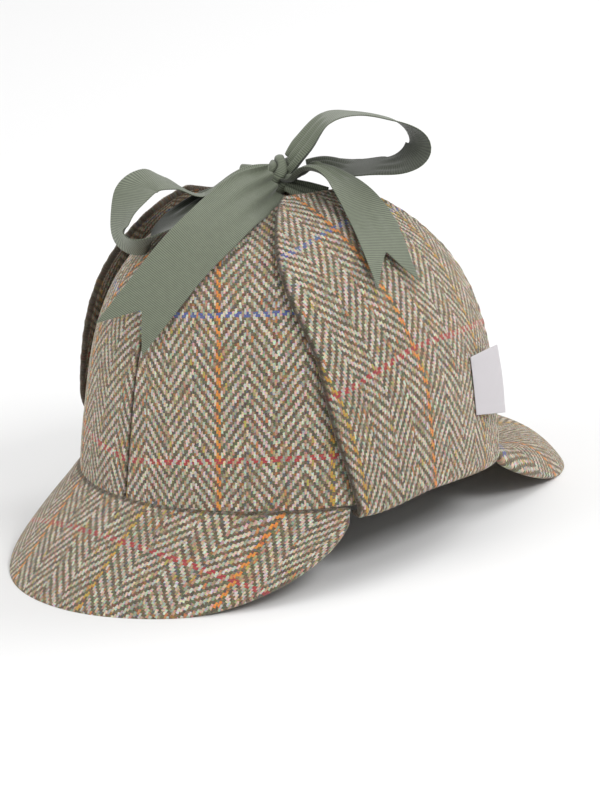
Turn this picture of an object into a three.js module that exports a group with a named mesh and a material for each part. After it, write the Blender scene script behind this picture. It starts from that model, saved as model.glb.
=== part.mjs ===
// Deerstalker hat: a four-quarter tweed crown, a front and a rear peak, two ear flaps folded up
// over the crown, and the flaps' grosgrain ties, tied in a bow on top.
//
// Millimetres. The finished hat has +Z up, its front towards -Y and the wearer's left towards +X,
// and stands on its two peaks with its origin on the floor, at the middle of its box.
// The shapes are worked out in the hat's own frame, whose z = 0 plane is the rim of the crown.
// settle() then leans the hat back until both peaks touch the floor.
import * as THREE from "three";

// Crown: the outside of the rim is an ellipse, and the sides taper before they round over.
const RIM_HALF_LENGTH = 103;
const RIM_HALF_WIDTH = 86;
const CROWN_HEIGHT = 124;
const SIDE_TAPER = 0.148;
const SHOULDER_POWER = 4.45;
const TOP_ROUND = 0.55;
const APEX_FORWARD = 6;
const CROWN_WALL = 2.5;
const PIECE_GAP = 0.3;
const CROWN_TIP_CLIMB = 0.99;
// The rim arches up over the ears: by how much, where along the hat, and how far the arch runs
// forward and back from there.
const RIM_ARCH = 6;
const RIM_ARCH_CENTRE = 8;
const RIM_ARCH_FORWARD = 48;
const RIM_ARCH_BACK = 95;

// Peaks: stiffened, two layers of tweed, sewn to the lower edge of the rim.
const PEAK_THICKNESS = 4;
const PEAK_SEAM_INSET = 0.5;
const PEAK_SEAM_DROP = 2.45;
// How far each peak spans either side of its middle (degrees), how far it reaches out and drops at
// its middle, how much more it drops at its ends, how far its ends flare sideways, how late it
// arches down between seam and edge (0 straight, 1 late), and how bluntly its ends round off.
const PEAKS = [
  { name: "front_peak", facing: -1, halfSpan: 67.3, reach: 42, drop: 38.5, endDrop: -5.5, flare: 12, arch: 0.1, roundPower: 5 },
  { name: "rear_peak", facing: 1, halfSpan: 52, reach: 49, drop: 19.5, endDrop: 8, flare: 0, arch: 0.9, roundPower: 6 },
];
const PEAK_ARCH_POWER = 2.8;

// Ear flaps: padded petals, folded up from under the rim and standing a little proud of the crown.
const FLAP_THICKNESS = 3;
const FLAP_LIFT = 2.8;
const FLAP_BASE_HALF_WIDTH = 50.5;
const FLAP_EXTRA_HALF_WIDTH = 9.5;
const FLAP_WIDEST_RISE = 0.42;
const FLAP_TIP_POWER = 2.6;
const FLAP_BASE_CENTRE = 11.5;
const FLAP_FORWARD_LEAN = 16;
const FLAP_BLUNT_END = 0.97;
const FLAPS = [
  { name: "left_ear_flap", side: 1, tipRise: 0.93, edgeLift: 2.2, forward: 0, tipForward: 5 },
  { name: "right_ear_flap", side: -1, tipRise: 0.8, edgeLift: 4.6, forward: 10, tipForward: 0 },
];
// The fold under the rim, from inside to outside: how far out from the rim, how high, and how much
// lower it hangs at the flap's front corner than at its rear one.
const FLAP_FOLD = [
  { lift: -1.0, height: -2.1, sag: 0 },
  { lift: 0.6, height: -3.0, sag: 0.7 },
  { lift: 2.2, height: -2.6, sag: 1.1 },
  { lift: 2.8, height: -1.2, sag: 0.9 },
  { lift: 2.8, height: 0, sag: 0 },
];

// The bare woven label, on the left flap near its rear edge.
const LABEL_THICKNESS = 1;
// Its sewn edge and its free one: where they stand along the hat, between which two angles above
// the rim (degrees), and how far off the flap.
const LABEL_EDGES = [
  { along: 37, low: 18.3, high: 34.3, standOff: 0 },
  { along: 60.5, low: 16.5, high: 36.5, standOff: 5 },
];

// The ties: one inch grosgrain ribbon.
const RIBBON_THICKNESS = 1;
const BOW_CENTRE = new THREE.Vector3(-1, -3, 132.6);
const KNOT_HALF_SIZE = new THREE.Vector3(7, 10, 8);
const KNOT_SQUARENESS = 0.8;
const SWALLOWTAIL_DEPTH = 17;

// The bow is laid out along its own axis, which runs from the front right to the rear left of the
// hat: "along" that axis, "out" from it towards the front left, and "up" from the knot's centre.
// "turn" is how far the ribbon is twisted about its path, and "width" its width there.
const BOW_ALONG = new THREE.Vector3(Math.SQRT1_2, Math.SQRT1_2, 0);
const BOW_OUT = new THREE.Vector3(Math.SQRT1_2, -Math.SQRT1_2, 0);
const RIBBONS = [
  {
    name: "large_loop",
    steps: 28,
    path: [
      { along: 5, out: 5, up: 9.8, turn: 16, width: 17 },
      { along: 10, out: 4, up: 15.5, turn: 14, width: 21 },
      { along: 20, out: 2, up: 25.5, turn: 2, width: 25.4 },
      { along: 33, out: 0, up: 27.2, turn: -9, width: 25.4 },
      { along: 46, out: -1, up: 25, turn: -10, width: 25.4 },
      { along: 56, out: 0, up: 21, turn: -15, width: 25.4 },
      { along: 61.5, out: 2, up: 13, turn: -24, width: 25.4 },
      { along: 56, out: 3, up: 6.2, turn: -13, width: 25.4 },
      { along: 43, out: 2, up: 3.4, turn: -4, width: 25.4 },
      { along: 30, out: -4.5, up: 1.8, turn: -3, width: 25.4 },
      { along: 19, out: -5, up: 3.4, turn: -3, width: 19 },
      { along: 11, out: -4.5, up: 2.4, turn: -3, width: 12 },
    ],
  },
  {
    name: "small_loop",
    steps: 32,
    path: [
      { along: -11, out: 2, up: 2, turn: 4, width: 13 },
      { along: -24, out: 7, up: -2, turn: 8, width: 19 },
      { along: -37, out: 11, up: -7.5, turn: 12, width: 25.4 },
      { along: -47.5, out: 15, up: -2.5, turn: 9, width: 25.4 },
      { along: -53, out: 17.5, up: 0.2, turn: 3, width: 25.4 },
      { along: -58.5, out: 20, up: 1.2, turn: -12, width: 25.4 },
      { along: -63, out: 22, up: -0.6, turn: -24, width: 25.4 },
      { along: -66.5, out: 24, up: -3.8, turn: -28, width: 25.4 },
      { along: -71.5, out: 28, up: -13, turn: -20, width: 25.4 },
      { along: -70.5, out: 32, up: -23.5, turn: -26, width: 25.4 },
      { along: -63.5, out: 39, up: -24.2, turn: -23, width: 25.4 },
      { along: -56, out: 36, up: -20.6, turn: -8, width: 25.4 },
      { along: -46, out: 28, up: -14, turn: 8, width: 25.4 },
      { along: -33, out: 17, up: -8, turn: 4, width: 22 },
      { along: -22, out: 9, up: -5.5, turn: 0, width: 17 },
      { along: -11.5, out: 3, up: -3.5, turn: 0, width: 11 },
    ],
  },
  {
    name: "front_tail",
    steps: 18,
    swallowtail: true,
    path: [
      { along: -4.5, out: 12, up: 0, turn: 92, width: 14 },
      { along: -10, out: 22.5, up: -1, turn: 114, width: 20.5 },
      { along: -18.4, out: 38, up: -3, turn: 116, width: 24.5 },
      { along: -30, out: 53, up: -12.5, turn: 105, width: 25.4 },
      { along: -42, out: 63, up: -22.5, turn: 95, width: 25.4 },
      { along: -54, out: 70, up: -36, turn: 92, width: 25.4 },
      { along: -66, out: 73, up: -51, turn: 90, width: 25.4 },
      { along: -72, out: 73, up: -59, turn: 90, width: 25.4 },
    ],
  },
  {
    name: "side_tail",
    steps: 18,
    swallowtail: true,
    path: [
      { along: 7.5, out: 10, up: 2, turn: 6, width: 12 },
      { along: 12, out: 15, up: 6.6, turn: 6, width: 16 },
      { along: 18.5, out: 18.5, up: 6.8, turn: 8, width: 19 },
      { along: 27.5, out: 23, up: 1.1, turn: 18, width: 25.4 },
      { along: 38.5, out: 31, up: -11.4, turn: 36, width: 25.4 },
      { along: 44, out: 40.5, up: -20.8, turn: 42, width: 25.4 },
      { along: 49, out: 50, up: -32, turn: 42, width: 25.4 },
      { along: 52, out: 54, up: -39, turn: 42, width: 25.4 },
    ],
  },
  {
    name: "right_tie_root",
    steps: 6,
    path: [
      { along: -24, out: -24, up: -7.5, turn: 10, width: 22 },
      { along: -15, out: -15.5, up: -4, turn: 10, width: 15 },
      { along: -8, out: -8.5, up: -1.5, turn: 10, width: 10 },
    ],
  },
  {
    name: "left_tie_root",
    steps: 4,
    path: [
      { along: 14.5, out: 7, up: -3.2, turn: 0, width: 17 },
      { along: 11, out: 4.5, up: -2.4, turn: 0, width: 13 },
      { along: 8, out: 3.5, up: -1.6, turn: 0, width: 10 },
    ],
  },
];

// How the finished hat stands: leaned back, with its rim this high, and shifted to the middle of
// its box. What would pass through the floor is pressed flat on it.
const LEAN = 3.5;
const RIM_HEIGHT = 31.4;
const FRONT_SHIFT = -1.6;

const degrees = (value) => THREE.MathUtils.degToRad(value);
const mix = THREE.MathUtils.lerp;

// ---- the hat's frame and the floor -------------------------------------------------------------

function settle(point) {
  const leaned = point.clone().applyAxisAngle(new THREE.Vector3(1, 0, 0), -degrees(LEAN));
  leaned.y += FRONT_SHIFT;
  leaned.z = Math.max(leaned.z + RIM_HEIGHT, 0);
  return leaned;
}

// ---- building meshes ---------------------------------------------------------------------------

// A closed body from two facing grids of points, front and back, joined round their four edges.
function shell(front, back) {
  const rows = front.length;
  const columns = front[0].length;
  const positions = [...front.flat(), ...back.flat()].flatMap((p) => settle(p).toArray());
  const backStart = rows * columns;
  const triangles = [];
  const quad = (a, b, c, d) => triangles.push(a, b, c, a, c, d);
  const at = (row, column) => row * columns + column;
  for (let row = 0; row < rows - 1; row += 1) {
    for (let column = 0; column < columns - 1; column += 1) {
      const corners = [at(row, column), at(row, column + 1), at(row + 1, column + 1), at(row + 1, column)];
      quad(...corners);
      quad(...corners.map((index) => index + backStart).reverse());
    }
  }
  const edge = [];
  for (let column = 0; column < columns - 1; column += 1) edge.push(at(0, column));
  for (let row = 0; row < rows - 1; row += 1) edge.push(at(row, columns - 1));
  for (let column = columns - 1; column > 0; column -= 1) edge.push(at(rows - 1, column));
  for (let row = rows - 1; row > 0; row -= 1) edge.push(at(row, 0));
  edge.forEach((here, index) => {
    const next = edge[(index + 1) % edge.length];
    quad(next, here, here + backStart, next + backStart);
  });
  const geometry = new THREE.BufferGeometry();
  geometry.setAttribute("position", new THREE.Float32BufferAttribute(positions, 3));
  geometry.setIndex(triangles);
  return geometry;
}

// A cloth wall: surface(u, v) gives its middle, and half the thickness goes to each side.
// u runs along the rows, v along the columns, and u x v points to the front of the cloth.
function cloth(surface, rowValues, columnValues, thickness, frontShare = 0.5) {
  const step = 1e-3;
  const front = [];
  const back = [];
  for (const v of rowValues) {
    const frontRow = [];
    const backRow = [];
    for (const u of columnValues) {
      const middle = surface(u, v);
      const alongU = surface(u + step, v).sub(surface(u - step, v));
      const alongV = surface(u, v + step).sub(surface(u, v - step));
      const normal = alongU.cross(alongV).normalize();
      frontRow.push(middle.clone().addScaledVector(normal, thickness * frontShare));
      backRow.push(middle.clone().addScaledVector(normal, -thickness * (1 - frontShare)));
    }
    front.push(frontRow);
    back.push(backRow);
  }
  return shell(front, back);
}

const spread = (from, to, steps) => Array.from({ length: steps + 1 }, (_, i) => mix(from, to, i / steps));

// ---- the crown ---------------------------------------------------------------------------------

// How wide the crown is at a height given as a share of its own, as a share of the rim's width.
function crownSpread(share) {
  const k = Math.min(Math.max(share, 0), 1);
  return (1 - SIDE_TAPER * k) * (1 - k ** SHOULDER_POWER) ** TOP_ROUND;
}

// The share of the crown's height reached at a climb of 0 (rim) to 1 (top), slowing as the top
// flattens so that rows stay evenly spaced across it.
function climbShare(climb) {
  return 1 - (1 - Math.min(Math.max(climb, 0), 0.9999)) ** (1 / TOP_ROUND);
}

// How high the rim stands at a place along the hat.
function rimRise(y) {
  const away = (y - RIM_ARCH_CENTRE) / (y < RIM_ARCH_CENTRE ? RIM_ARCH_FORWARD : RIM_ARCH_BACK);
  return Math.abs(away) < 1 ? RIM_ARCH * Math.cos((away * Math.PI) / 2) ** 2 : 0;
}

// A point of the crown; turn is the way round from the front.
function crownPoint(turn, climb) {
  const rimShare = rimRise(-RIM_HALF_LENGTH * Math.cos(turn)) / CROWN_HEIGHT;
  const share = mix(rimShare, 1, climbShare(climb));
  const width = crownSpread(share);
  return new THREE.Vector3(
    RIM_HALF_WIDTH * width * Math.sin(turn),
    -RIM_HALF_LENGTH * width * Math.cos(turn) - APEX_FORWARD * share ** 2,
    CROWN_HEIGHT * share,
  );
}

// A quarter of the crown between two seams, with half a gap left at each.
function crownQuarter(startTurn) {
  const quarter = Math.PI / 2;
  const surface = (u, v) => {
    const margin = PIECE_GAP / Math.max(RIM_HALF_WIDTH * crownSpread(climbShare(v)), 1);
    return crownPoint(startTurn + margin + u * (quarter - 2 * margin), v);
  };
  return cloth(surface, spread(0, CROWN_TIP_CLIMB, 14), spread(0, 1, 12), CROWN_WALL, 0);
}

// ---- the peaks ---------------------------------------------------------------------------------

// The peak's outline is the rim's, moved straight forward (or back) and down, and fading to
// nothing at its two ends. v goes from 0 at the seam to 1 at the outer edge.
function peakPoint(peak, u, v) {
  const turn = degrees(peak.halfSpan) * u;
  const fade = Math.max(1 - Math.abs(u) ** peak.roundPower, 0);
  const reach = peak.reach * fade ** 0.6 + 1.5;
  const drop = (peak.drop + peak.endDrop * u * u) * fade ** 0.5 + 1.5;
  const flare = peak.flare * Math.sign(u) * u ** 4 * fade ** 0.3;
  const fallen = mix(v, Math.max(v, 0) ** PEAK_ARCH_POWER, peak.arch);
  const seamY = peak.facing * (RIM_HALF_LENGTH - PEAK_SEAM_INSET) * Math.cos(turn);
  return new THREE.Vector3(
    -peak.facing * ((RIM_HALF_WIDTH - PEAK_SEAM_INSET) * Math.sin(turn) + flare * v),
    seamY + peak.facing * reach * v,
    rimRise(seamY) - PEAK_SEAM_DROP - drop * fallen,
  );
}

function peakBody(peak) {
  const across = spread(-1, 1, 30).map((t) => Math.sin((t * Math.PI) / 2) * 0.998);
  return cloth((u, v) => peakPoint(peak, u, v), [0, 0.25, 0.5, 0.75, 0.93, 1], across, PEAK_THICKNESS);
}

// ---- the ear flaps -----------------------------------------------------------------------------

// Where a level line from the middle plane (x = 0) at this y, tilted up by the angle, leaves the
// crown grown by lift. Found by halving, because the crown's outline has no closed inverse.
function sidePoint(y, angle, lift) {
  const direction = new THREE.Vector2(Math.cos(angle), Math.sin(angle));
  const inside = (distance) => {
    const x = direction.x * distance;
    const share = (direction.y * distance) / (CROWN_HEIGHT + lift);
    if (share >= 1) return false;
    const shiftedY = y + APEX_FORWARD * share ** 2;
    return Math.hypot(x / (RIM_HALF_WIDTH + lift), shiftedY / (RIM_HALF_LENGTH + lift)) < crownSpread(share);
  };
  let near = 0;
  let far = 200;
  for (let halving = 0; halving < 40; halving += 1) {
    const middle = (near + far) / 2;
    if (inside(middle)) near = middle;
    else far = middle;
  }
  return new THREE.Vector3(direction.x * near, y, direction.y * near);
}

// The petal: its middle line leans forward as it climbs, and its width swells and then rounds off.
function flapMiddle(rise) {
  return FLAP_BASE_CENTRE - FLAP_FORWARD_LEAN * rise * rise;
}

function flapHalfWidth(rise) {
  const widest = FLAP_BASE_HALF_WIDTH + FLAP_EXTRA_HALF_WIDTH;
  if (rise < FLAP_WIDEST_RISE) {
    const swell = Math.sin(((rise / FLAP_WIDEST_RISE) * Math.PI) / 2);
    return FLAP_BASE_HALF_WIDTH + FLAP_EXTRA_HALF_WIDTH * Math.max(swell, 0);
  }
  const beyond = (rise - FLAP_WIDEST_RISE) / (1 - FLAP_WIDEST_RISE);
  return widest * Math.sqrt(Math.max(1 - beyond ** FLAP_TIP_POWER, 0));
}

// An even S from 0 at low to 1 at high.
function smooth(low, high, value) {
  const t = Math.min(Math.max((value - low) / (high - low), 0), 1);
  return t * t * (3 - 2 * t);
}

function flapPoint(flap, across, rise, lift) {
  const halfWidth = flapHalfWidth(rise);
  const frontness = smooth(0.1, 1, -across);
  const pulled = flap.forward * smooth(0, 0.25, rise) * smooth(1, 0.6, rise) +
    flap.tipForward * smooth(0.55, 0.85, rise);
  const y = flapMiddle(rise * flap.tipRise) + across * halfWidth - frontness * pulled;
  const fromFrontEdge = ((1 + across) * halfWidth) / 13;
  const standOff = flap.edgeLift * Math.exp(-(fromFrontEdge ** 2)) * smooth(0, 0.18, rise) +
    1.8 * smooth(0.8, 0.97, rise);
  const point = sidePoint(y, (rise * flap.tipRise * Math.PI) / 2, lift + standOff);
  point.x *= flap.side;
  point.z += rimRise(y) * (1 - rise) ** 4;
  return point;
}

// A row of a table at a place between its rows, each column mixed in step.
function sample(table, place) {
  const first = Math.min(Math.max(Math.floor(place), 0), table.length - 2);
  const share = place - first;
  const mixed = {};
  for (const column of Object.keys(table[0])) {
    if (typeof table[0][column] === "number") {
      mixed[column] = mix(table[first][column], table[first + 1][column], share);
    }
  }
  return mixed;
}

// travel is -1 to 0 in the fold under the rim and 0 to 1 up the petal, slowing towards its tip.
function flapTravel(flap, across, travel) {
  if (travel >= 0) {
    const rise = FLAP_BLUNT_END * Math.sin((Math.min(travel, 1) * Math.PI) / 2);
    return flapPoint(flap, across, rise, FLAP_LIFT);
  }
  const fold = sample(FLAP_FOLD, (travel + 1) * (FLAP_FOLD.length - 1));
  const point = sidePoint(FLAP_BASE_CENTRE + across * FLAP_BASE_HALF_WIDTH, 0, fold.lift);
  point.x *= flap.side;
  point.z = rimRise(point.y) + fold.height - fold.sag * (0.5 - across / 2);
  return point;
}

function flapBody(flap) {
  const rows = [...spread(-1, 0, FLAP_FOLD.length - 1), ...spread(0, 1, 14).slice(1)];
  const surface = (u, v) => flapTravel(flap, u * flap.side, v);
  return cloth(surface, rows, spread(-1, 1, 16), FLAP_THICKNESS);
}

// ---- the label ---------------------------------------------------------------------------------

function labelBody() {
  const onFlap = FLAP_LIFT + FLAP_THICKNESS / 2 + PIECE_GAP + LABEL_THICKNESS / 2;
  const surface = (u, v) => {
    const edge = sample(LABEL_EDGES, u);
    return sidePoint(edge.along, degrees(mix(edge.low, edge.high, v)), onFlap + edge.standOff);
  };
  return cloth(surface, spread(0, 1, 5), spread(0, 1, 5), LABEL_THICKNESS);
}

// ---- the ribbons -------------------------------------------------------------------------------

function bowPoint(along, out, up) {
  return BOW_CENTRE.clone()
    .addScaledVector(BOW_ALONG, along)
    .addScaledVector(BOW_OUT, out)
    .add(new THREE.Vector3(0, 0, up));
}

// The ribbon's middle line, its width direction and its width, at a share of its length.
function ribbonFrame(ribbon, curve, share) {
  const at = Math.min(Math.max(share, 0), 1);
  const direction = curve.getTangent(at);
  const level = BOW_OUT.clone().addScaledVector(direction, -BOW_OUT.dot(direction)).normalize();
  const row = sample(ribbon.path, at * (ribbon.path.length - 1));
  const sideways = level.applyAxisAngle(direction, degrees(row.turn));
  return { middle: curve.getPoint(at), sideways, width: row.width };
}

function ribbonBody(ribbon) {
  const curve = new THREE.CatmullRomCurve3(ribbon.path.map((row) => bowPoint(row.along, row.out, row.up)));
  const columns = ribbon.swallowtail ? 4 : 2;
  const surface = (u, v) => {
    const end = ribbon.swallowtail ? 1 - (SWALLOWTAIL_DEPTH / curve.getLength()) * (1 - Math.abs(u)) : 1;
    const frame = ribbonFrame(ribbon, curve, v * end);
    return frame.middle.addScaledVector(frame.sideways, (u * frame.width) / 2);
  };
  return cloth(surface, spread(0, 1, ribbon.steps), spread(-1, 1, columns), RIBBON_THICKNESS);
}

// The knot: a squarish ball, pinched round its middle where the ties are wound.
function knotBody() {
  const power = (value) => Math.sign(value) * Math.abs(value) ** KNOT_SQUARENESS;
  const profile = spread(-90, 90, 10).map((angle) => {
    const radius = Math.abs(angle) === 90 ? 0 : power(Math.cos(degrees(angle)));
    return new THREE.Vector2(radius, power(Math.sin(degrees(angle))));
  });
  const geometry = new THREE.LatheGeometry(profile, 14);
  geometry.rotateX(Math.PI / 2);
  geometry.scale(KNOT_HALF_SIZE.x, KNOT_HALF_SIZE.y, KNOT_HALF_SIZE.z);
  geometry.translate(BOW_CENTRE.x, BOW_CENTRE.y, BOW_CENTRE.z);
  const position = geometry.getAttribute("position");
  const corner = new THREE.Vector3();
  for (let index = 0; index < position.count; index += 1) {
    corner.fromBufferAttribute(position, index);
    position.setXYZ(index, ...settle(corner).toArray());
  }
  return geometry;
}

// ---- the hat -----------------------------------------------------------------------------------

const tweed = new THREE.MeshStandardMaterial({ color: 0x9c9278, roughness: 0.95, metalness: 0 });
const grosgrain = new THREE.MeshStandardMaterial({ color: 0x78806a, roughness: 0.75, metalness: 0 });
const labelCloth = new THREE.MeshStandardMaterial({ color: 0xdcdce0, roughness: 0.8, metalness: 0 });

const hat = new THREE.Group();

function addPiece(name, geometry, material) {
  const piece = new THREE.Mesh(geometry, material);
  piece.name = name;
  hat.add(piece);
}

const QUARTERS = ["crown_front_left", "crown_rear_left", "crown_rear_right", "crown_front_right"];
QUARTERS.forEach((name, index) => addPiece(name, crownQuarter((index * Math.PI) / 2), tweed));
PEAKS.forEach((peak) => addPiece(peak.name, peakBody(peak), tweed));
FLAPS.forEach((flap) => addPiece(flap.name, flapBody(flap), tweed));
addPiece("woven_label", labelBody(), labelCloth);
addPiece("bow_knot", knotBody(), grosgrain);
RIBBONS.forEach((ribbon) => addPiece(ribbon.name, ribbonBody(ribbon), grosgrain));

export default hat;
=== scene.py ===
"""Deerstalker hat: the finished look of its cloth, ribbon and label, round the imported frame.

Lengths in the shape functions are millimetres in the hat's own frame, whose z = 0 plane is the
rim, front towards -Y and the wearer's left towards +X. settle() stands the hat on the floor.
"""

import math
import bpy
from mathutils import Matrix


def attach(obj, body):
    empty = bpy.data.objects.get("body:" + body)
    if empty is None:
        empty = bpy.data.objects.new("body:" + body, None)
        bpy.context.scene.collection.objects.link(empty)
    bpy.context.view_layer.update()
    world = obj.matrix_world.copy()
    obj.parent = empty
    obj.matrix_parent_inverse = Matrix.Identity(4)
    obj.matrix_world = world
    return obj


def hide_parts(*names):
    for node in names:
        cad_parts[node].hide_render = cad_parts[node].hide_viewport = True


bl_info = {
    "name": "Deerstalker Hat",
    "version": (1, 0, 0),
    "blender": (4, 5, 0),
    "location": "3D View > Sidebar > Hat",
    "description": "Builds a tweed deerstalker hat with a ribbon bow",
    "category": "Object",
}

import bpy
import numpy as np
from bpy.props import FloatProperty, FloatVectorProperty, IntProperty, PointerProperty
from mathutils import Matrix, Vector

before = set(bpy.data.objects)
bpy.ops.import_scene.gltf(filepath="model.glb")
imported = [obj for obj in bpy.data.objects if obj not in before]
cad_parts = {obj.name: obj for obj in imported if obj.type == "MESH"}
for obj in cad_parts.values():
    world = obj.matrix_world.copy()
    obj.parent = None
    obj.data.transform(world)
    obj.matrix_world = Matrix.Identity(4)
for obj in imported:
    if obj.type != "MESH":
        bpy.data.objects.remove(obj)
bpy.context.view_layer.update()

MM = 0.001

# ---- how the hat stands ------------------------------------------------------------------------

LEAN = math.radians(3.5)
RIM_HEIGHT = 31.4
FRONT_SHIFT = -1.6


def turned(vectors):
    """Vectors turned about +X by minus the lean."""
    x, y, z = np.moveaxis(np.asarray(vectors, float), -1, 0)
    c, s = math.cos(LEAN), math.sin(LEAN)
    return np.stack([x, y * c + z * s, z * c - y * s], -1)


def settle(points):
    """Points turned by the lean, raised to the rim's height, and pressed flat on the floor."""
    placed = turned(points) + np.array([0.0, FRONT_SHIFT, RIM_HEIGHT])
    placed[..., 2] = np.maximum(placed[..., 2], 0.0)
    return placed


# ---- grids and meshes --------------------------------------------------------------------------


def smooth(low, high, value):
    """0 below low, 1 above high, and an even S between them."""
    t = np.clip((value - low) / (high - low), 0.0, 1.0)
    return t * t * (3.0 - 2.0 * t)


def unit(vectors):
    """Each vector divided by its length."""
    return vectors / np.maximum(np.linalg.norm(vectors, axis=-1, keepdims=True), 1e-9)


def edge_spread(count, width, edge_steps=(0.12, 0.3, 0.6, 1.0, 1.5, 2.2, 3.2)):
    """0 to 1 in even steps, with extra ones by both ends, at these millimetres of the width."""
    near = np.array((0.0,) + tuple(edge_steps)) / width
    middle = np.linspace(near[-1], 1.0 - near[-1], count)
    return np.concatenate([near[:-1], middle, 1.0 - near[:-1][::-1]])


def spread(count):
    return count


def travelled(points, axis):
    """Length along the grid lines of that axis, from their start."""
    steps = np.linalg.norm(np.diff(points, axis=axis), axis=-1)
    start = np.zeros_like(np.take(steps, [0], axis=axis))
    return np.cumsum(np.concatenate([start, steps], axis=axis), axis=axis)


def grid_normals(points):
    """Cross product of the two grid directions: across the columns, then down the rows."""
    return unit(np.cross(np.gradient(points, axis=1), np.gradient(points, axis=0)))


def from_ends(lengths, axis):
    """Distance to the nearer end of each grid line, given lengths from its start."""
    whole = np.take(lengths, [-1], axis=axis)
    return np.minimum(lengths, whole - lengths)


def raised(points, normals, heights):
    """Points moved along their normals by these heights."""
    return points + normals * heights[..., None]


def quads(index):
    """The four corners of each cell of a grid of point numbers."""
    corners = (index[:-1, :-1], index[:-1, 1:], index[1:, 1:], index[1:, :-1])
    return np.stack(corners, -1).reshape(-1, 4)


def round_edge(distance, radius):
    """1 inside a wall, falling on a quarter circle to 0 at its edge."""
    inward = np.clip(distance / radius, 0.0, 1.0)
    return np.sqrt(np.clip(1.0 - (1.0 - inward) ** 2, 0.0, 1.0))


def pillow(name, middle, normals, front, back, cloth_map, materials, painted_shade=None):
    """One closed cloth body: middle plus normals times front on one side, minus back on the other.

    The two sides share the points round the grid's border, so the body has no open edge.
    """
    rows, columns = middle.shape[:2]
    border = np.zeros((rows, columns), bool)
    border[[0, -1], :] = True
    border[:, [0, -1]] = True
    front_index = np.arange(rows * columns).reshape(rows, columns)
    back_index = front_index.copy()
    inner = ~border
    back_index[inner] = rows * columns + np.arange(inner.sum())
    outside = raised(middle, normals, front)
    inside = raised(middle, normals, -back)
    outside[border] = raised(middle, normals, (front - back) / 2.0)[border]
    points = np.concatenate([outside.reshape(-1, 3), inside[inner]])
    maps = np.concatenate([cloth_map.reshape(-1, 2), cloth_map[inner]])
    painted_shade = np.zeros((rows, columns)) if painted_shade is None else painted_shade
    painted_shades = np.concatenate([painted_shade.ravel(), painted_shade[inner]])
    front_faces = quads(front_index)
    faces = np.concatenate([front_faces, quads(back_index)[:, ::-1]])
    return make_object(name, points, faces, maps, materials,
                       back_start=len(front_faces), painted_shades=painted_shades)


def make_object(name, points, faces, maps, materials, back_start=None, painted_shades=None):
    """A smooth-shaded mesh object at the origin, with its cloth map in millimetres as its UV.

    Faces from back_start on take the second material, where there is one.
    """
    mesh = bpy.data.meshes.new(name)
    placed = settle(points) * MM
    mesh.vertices.add(len(placed))
    mesh.vertices.foreach_set("co", placed.ravel())
    mesh.loops.add(faces.size)
    mesh.loops.foreach_set("vertex_index", faces.ravel())
    mesh.polygons.add(len(faces))
    mesh.polygons.foreach_set("loop_start", np.arange(0, faces.size, faces.shape[1]))
    mesh.polygons.foreach_set("use_smooth", np.ones(len(faces), bool))
    uv = mesh.uv_layers.new(name="cloth_mm")
    uv.data.foreach_set("uv", maps[faces.ravel()].ravel())
    # painted shade: a point attribute from 0 to 1, by which the materials darken the cloth where
    # seams, folds and the knot's grooves would be in shade
    painted_shade = mesh.attributes.new("painted_shade", "FLOAT", "POINT")
    painted_shade.data.foreach_set("value", np.zeros(len(points)) if painted_shades is None else painted_shades)
    for material in materials:
        mesh.materials.append(material)
    if back_start is not None and len(materials) > 1:
        chosen = np.zeros(len(faces), int)
        chosen[back_start:] = 1
        mesh.polygons.foreach_set("material_index", chosen)
    mesh.update(calc_edges=True)
    mesh.validate()
    piece = bpy.data.objects.new(name, mesh)
    bpy.context.scene.collection.objects.link(piece)
    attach(piece, "root")
    return piece


# ---- the weave ---------------------------------------------------------------------------------

HERRINGBONE_COLUMN = 12.75
END_PITCH = HERRINGBONE_COLUMN / 12.0
PICK_PITCH = 1.375
CHECK_ACROSS = 51.0
CHECK_ALONG = 64.5


def twill_relief(cloth_map, height):
    """The ribs of the herringbone as real relief: a cosine of ends and picks counted together,
    four to a rib, whose ends are counted backwards in every other column."""
    way = 2.0 * (np.floor(cloth_map[..., 0] / HERRINGBONE_COLUMN) % 2.0) - 1.0
    count = np.floor(cloth_map[..., 0] / END_PITCH) * way + cloth_map[..., 1] / PICK_PITCH
    return height * np.cos((count - 1.0) * math.pi / 2.0)


# ---- the crown ---------------------------------------------------------------------------------

RIM_HALF_LENGTH = 103.0
RIM_HALF_WIDTH = 86.0
CROWN_HEIGHT = 124.0
SIDE_TAPER = 0.148
SHOULDER_POWER = 4.45
TOP_ROUND = 0.55
APEX_FORWARD = 6.0
CROWN_SEED = 11
CROWN_CLOTH_START = 24.0
RIM_ARCH = 6.0
RIM_ARCH_CENTRE = 8.0
RIM_ARCH_FORWARD = 48.0
RIM_ARCH_BACK = 95.0
QUARTERS = ("crown_front_left", "crown_rear_left", "crown_rear_right", "crown_front_right")
SEAM_HALF_GAP = 0.0008
TOP_CLIMB = 0.985
# About how wide and high a quarter is, which sets how close its edge rows lie.
QUARTER_SPAN = 150.0
QUARTER_CLIMB = 170.0
# How far the check's first line lies from each quarter's middle, and which way the cloth runs.
QUARTER_CLOTH = ({"shift": 31.3, "way": 1.0}, {"shift": 20.0, "way": 1.0},
                 {"shift": 31.0, "way": -1.0}, {"shift": 33.0, "way": -1.0})


def crown_spread(share):
    """The taper of the sides times one minus the height share to a power, to another power."""
    k = np.clip(share, 0.0, 1.0)
    return (1.0 - SIDE_TAPER * k) * (1.0 - k ** SHOULDER_POWER) ** TOP_ROUND


def climb_share(climb):
    """Height share for an even climb over the top: one minus the rest to a power."""
    return 1.0 - (1.0 - np.clip(climb, 0.0, 0.9999)) ** (1.0 / TOP_ROUND)


def rim_rise(y):
    """A squared cosine, highest over the ear."""
    away = (y - RIM_ARCH_CENTRE) / np.where(y < RIM_ARCH_CENTRE, RIM_ARCH_FORWARD, RIM_ARCH_BACK)
    return np.where(np.abs(away) < 1.0, RIM_ARCH * np.cos(away * math.pi / 2) ** 2, 0.0)


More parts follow.
